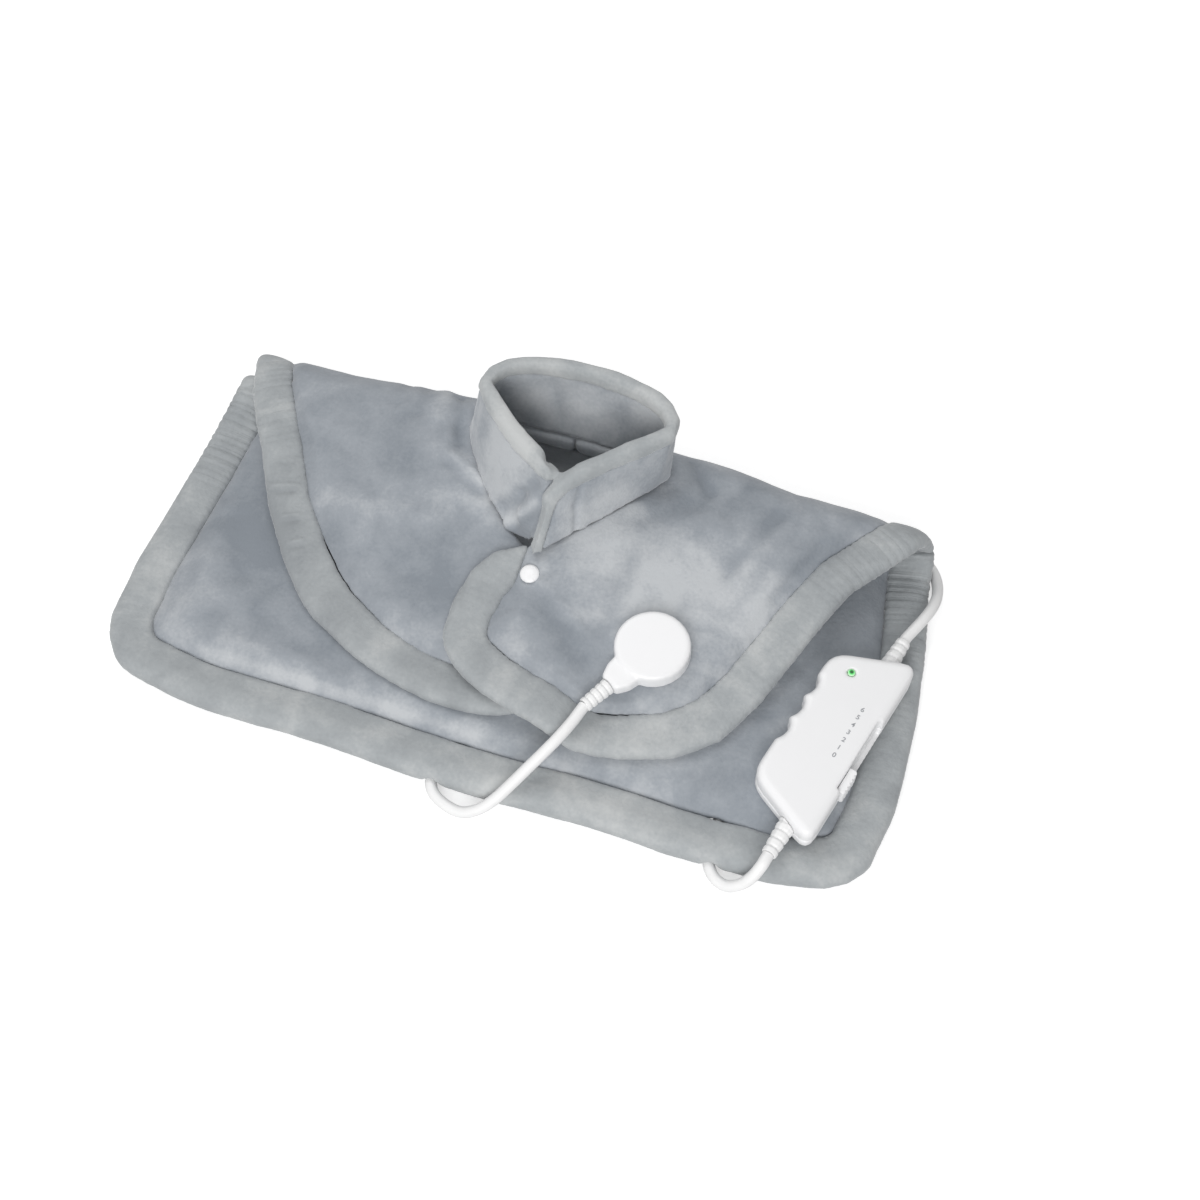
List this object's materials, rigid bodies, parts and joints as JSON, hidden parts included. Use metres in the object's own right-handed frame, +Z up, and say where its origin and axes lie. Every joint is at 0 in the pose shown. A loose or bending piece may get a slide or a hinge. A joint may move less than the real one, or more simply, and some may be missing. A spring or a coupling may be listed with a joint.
{
  "type": "heating pad with controller",
  "caption": "Plush heated neck and shoulder cape, folded at the shoulders with a stand-up collar, wired to a slide controller and a round mains plug on a cord.",
  "frame": {"origin": "middle of the cape's bounding box on the surface it lies on, without the cords", "axes": "+X to the wearer's closing side, where the controller lies; +Y to the shoulder fold; +Z up"},
  "size_m": [0.5316, 0.2925, 0.1095],
  "materials": {
    "plush": "short-pile plush, matt",
    "plush_lining": "short-pile plush, matt",
    "plush_edge": "folded plush edge tape, matt",
    "heating_wire": "smooth insulation",
    "dark_plastic": "moulded",
    "white_plastic": "moulded, satin",
    "knob_plastic": "moulded, satin",
    "lamp_lens": "polished",
    "circuit_board": "solder resist",
    "plated_steel": "nickel plated",
    "cord_jacket": "smooth PVC",
    "cord_tie": "matt"
  },
  "bodies": {
    "cape": {"back_outer_cover": "plush", "back_lining": "plush_lining", "back_edge_tape": "plush_edge", "left_front_cover": "plush", "left_front_lining": "plush_lining", "left_edge_tape": "plush_edge", "right_front_cover": "plush", "right_front_lining": "plush_lining", "right_edge_tape": "plush_edge", "collar": "plush", "collar_edge_tape": "plush_edge", "heating_wire_back": "heating_wire", "heating_wire_left": "heating_wire", "heating_wire_right": "heating_wire", "thermal_cutout": "dark_plastic", "snap_cap": "white_plastic", "snap_socket": "plated_steel", "snap_stud": "plated_steel", "snap_back": "plated_steel", "handset_bottom_shell": "white_plastic", "handset_top_shell": "white_plastic", "lamp_lens": "lamp_lens", "circuit_board": "circuit_board", "slide_switch": "dark_plastic", "shell_screw_1": "plated_steel", "shell_screw_2": "plated_steel", "shell_screw_3": "plated_steel", "shell_screw_4": "plated_steel", "lower_cord_boot": "cord_jacket", "upper_cord_boot": "cord_jacket", "lead_gland": "cord_jacket", "mains_cord_to_coil": "cord_jacket", "mains_cord_coil": "cord_jacket", "mains_cord_to_plug": "cord_jacket", "coil_tie": "cord_tie", "pad_lead": "cord_jacket", "plug_body": "white_plastic", "plug_boot": "cord_jacket", "plug_pin_left": "plated_steel", "plug_pin_right": "plated_steel"},
    "slider": {"slide_knob": "knob_plastic"}
  },
  "joints": [
    {"name": "heat_slide", "type": "slide", "parent": "cape", "child": "slider", "axis": [0.2419, 0.9703, 0], "range_m": [0, 0.0372]}
  ]
}
